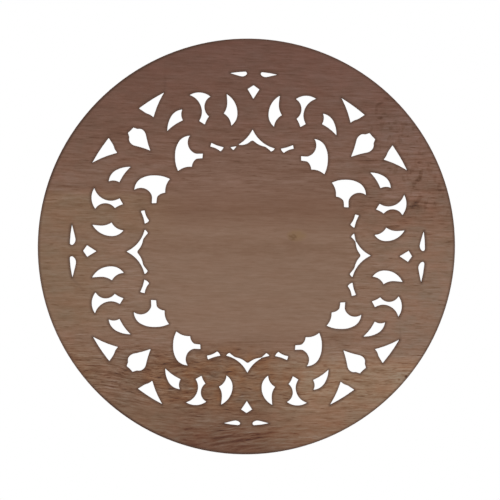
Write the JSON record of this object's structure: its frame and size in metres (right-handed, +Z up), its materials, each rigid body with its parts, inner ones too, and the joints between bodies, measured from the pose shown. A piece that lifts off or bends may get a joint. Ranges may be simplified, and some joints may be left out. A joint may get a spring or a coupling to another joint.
{
  "type": "pierced wooden applique",
  "caption": "Flat round wooden applique cut right through with an eightfold kaleidoscope pattern, fixed by its back to a wall, door or panel as decoration.",
  "frame": {"origin": "centre of the round back face, on the plane it is fixed to", "axes": "+Z up as it hangs, -Y out of the decorated face towards the viewer, +Y into the wall, +X to the viewer's right"},
  "size_m": [0.305, 0.0015, 0.305],
  "materials": {
    "walnut": "matte, bare or lightly oiled, edges darkened by the cut"
  },
  "bodies": {
    "root": {"pierced_disc": "walnut"}
  },
  "joints": []
}
